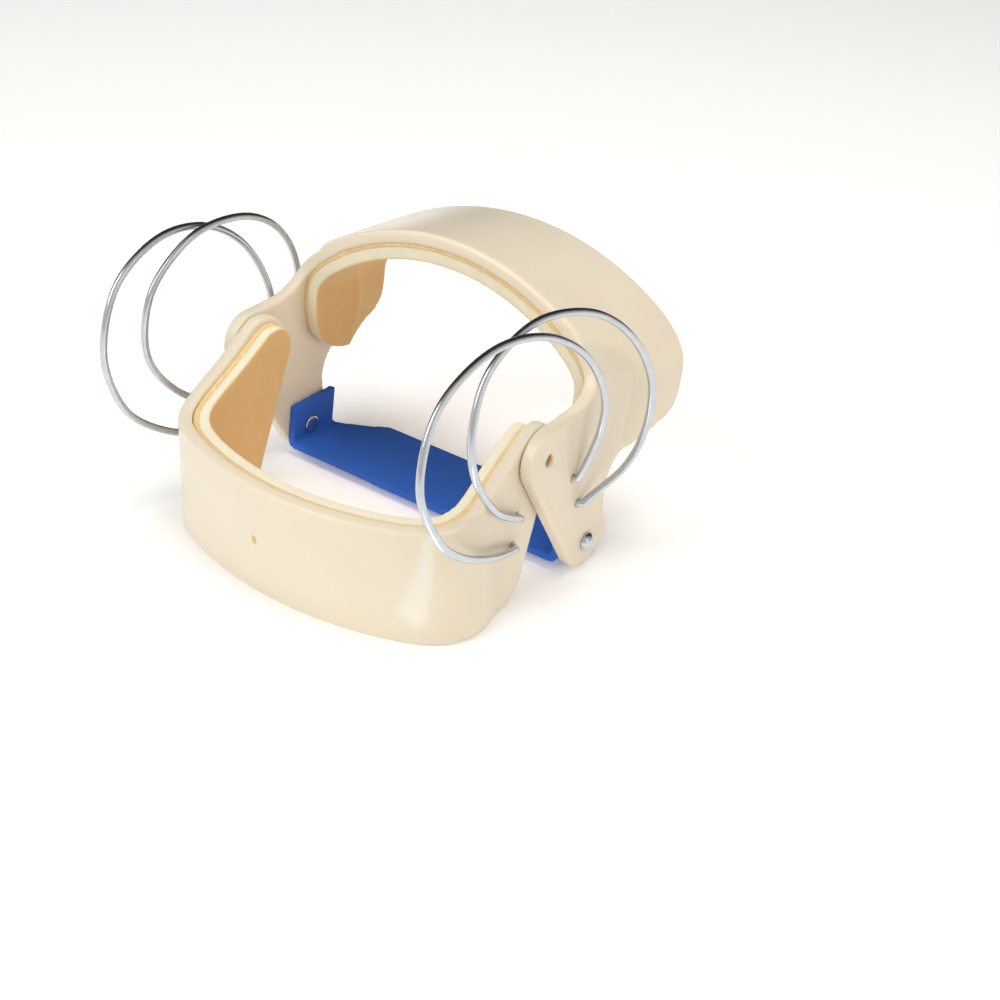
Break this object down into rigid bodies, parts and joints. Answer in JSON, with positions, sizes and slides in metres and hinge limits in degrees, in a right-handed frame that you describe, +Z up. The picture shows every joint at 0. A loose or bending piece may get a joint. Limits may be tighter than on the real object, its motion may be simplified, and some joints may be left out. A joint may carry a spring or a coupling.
{
  "type": "knuckle bender splint",
  "caption": "Hand splint with a foam-lined plastic band over the back of the hand, a palm strap, and a hinged finger band that spring wire loops pull into flexion.",
  "frame": {"origin": "bottom centre of the bounding box, on the surface that the splint stands on", "axes": "+X across the hand along the hinge axis, +Y towards the wrist, +Z up, out of the back of the hand"},
  "size_m": [0.1092, 0.0996, 0.0739],
  "materials": {
    "plastic": "semi-gloss",
    "foam": "matte closed-cell foam",
    "steel": "drawn and polished",
    "webbing": "matte"
  },
  "bodies": {
    "hand_frame": {"hand_band": "plastic", "hand_lining": "foam", "palm_strap": "webbing", "rivet_right": "steel", "rivet_left": "steel", "spring_wire_right_front": "steel", "spring_wire_right_back": "steel", "spring_wire_left_front": "steel", "spring_wire_left_back": "steel"},
    "finger_frame": {"finger_band": "plastic", "finger_lining": "foam"}
  },
  "joints": [
    {"name": "finger_hinge", "type": "hinge", "parent": "hand_frame", "child": "finger_frame", "pos_m": [-0.00125, -0.00488, 0.03749], "axis": [1, 0, 0], "range_deg": [-45, 25], "stiffness_Nm_per_rad": 1.2, "deforming": ["spring_wire_right_front", "spring_wire_right_back", "spring_wire_left_front", "spring_wire_left_back"]}
  ]
}
